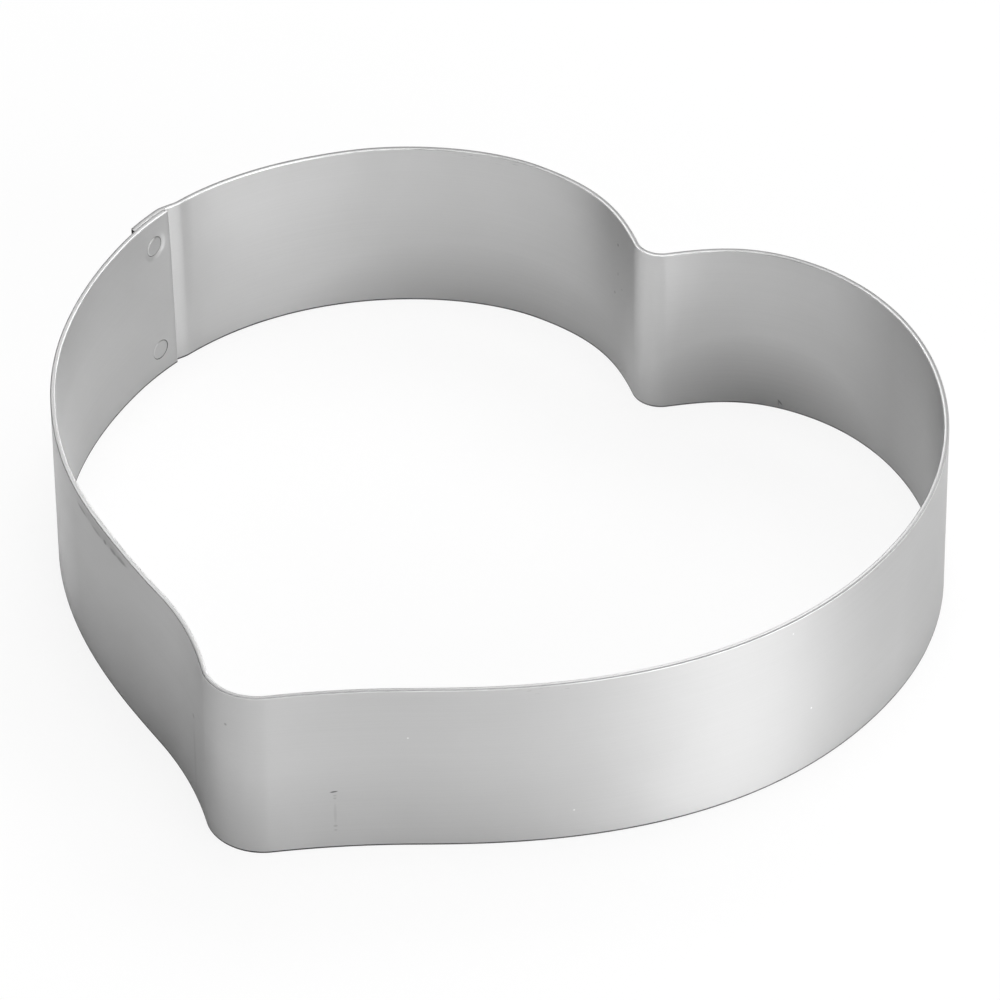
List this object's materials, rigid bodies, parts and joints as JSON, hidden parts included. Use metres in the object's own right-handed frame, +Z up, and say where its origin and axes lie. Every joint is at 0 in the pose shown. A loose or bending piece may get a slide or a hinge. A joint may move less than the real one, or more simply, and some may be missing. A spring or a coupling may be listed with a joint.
{
  "type": "heart cake ring",
  "caption": "Bottomless heart-shaped cake ring: a satin metal strip bent on edge, its ends lapped on a lobe and riveted flush, for baking or cutting cake and mousse.",
  "frame": {"origin": "middle of the heart's outline on the surface that the ring stands on", "axes": "+Z up along the wall, -Y towards the tip, +Y towards the notch, -X towards the lobe with the lapped seam"},
  "size_m": [0.2041, 0.192, 0.0445],
  "materials": {
    "band": "satin mill finish with fine marks along the wall, the cut edges brighter",
    "rivet": "satin, pressed flush"
  },
  "bodies": {
    "root": {"heart_band": "band", "upper_rivet": "rivet", "lower_rivet": "rivet"}
  },
  "joints": []
}
